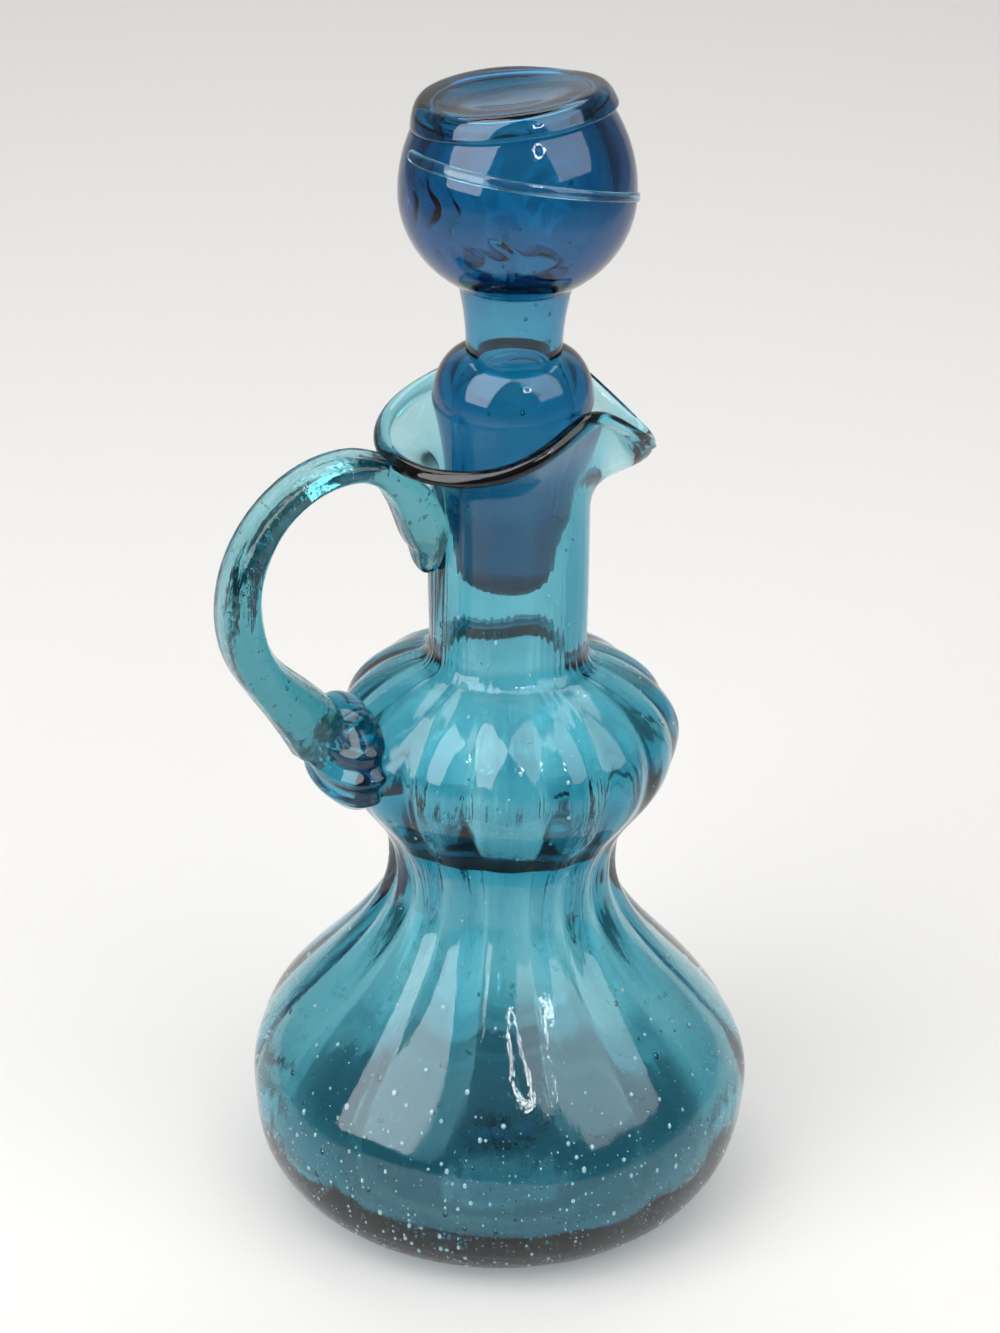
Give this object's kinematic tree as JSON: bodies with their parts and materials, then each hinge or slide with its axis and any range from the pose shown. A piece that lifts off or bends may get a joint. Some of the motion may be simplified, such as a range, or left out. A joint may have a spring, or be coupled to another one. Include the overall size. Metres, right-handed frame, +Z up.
{
  "type": "stoppered glass bottle",
  "caption": "Hand-blown fluted double-bulb glass bottle with a pinched pouring lip, an applied strap handle and a hollow ball stopper that lifts out of its neck.",
  "frame": {"origin": "the middle of the flat foot, on the surface the bottle stands on", "axes": "+Z up along the bottle's axis, +X towards the pouring lip, the handle on -X"},
  "size_m": [0.1126, 0.1062, 0.2328],
  "materials": {
    "bottle_glass": "fire-polished aqua glass with seeds",
    "handle_glass": "fire-polished aqua glass drawn lengthwise",
    "stopper_glass": "fire-polished deep blue glass"
  },
  "bodies": {
    "bottle": {"bottle_body": "bottle_glass", "handle_strap": "handle_glass", "handle_pad": "handle_glass"},
    "stopper": {"stopper_bubble": "stopper_glass", "stopper_cap": "stopper_glass", "stopper_trail": "stopper_glass"}
  },
  "joints": [
    {"name": "stopper_lift", "type": "slide", "parent": "bottle", "child": "stopper", "axis": [0, 0, 1], "range_m": [0, 0.046]}
  ]
}
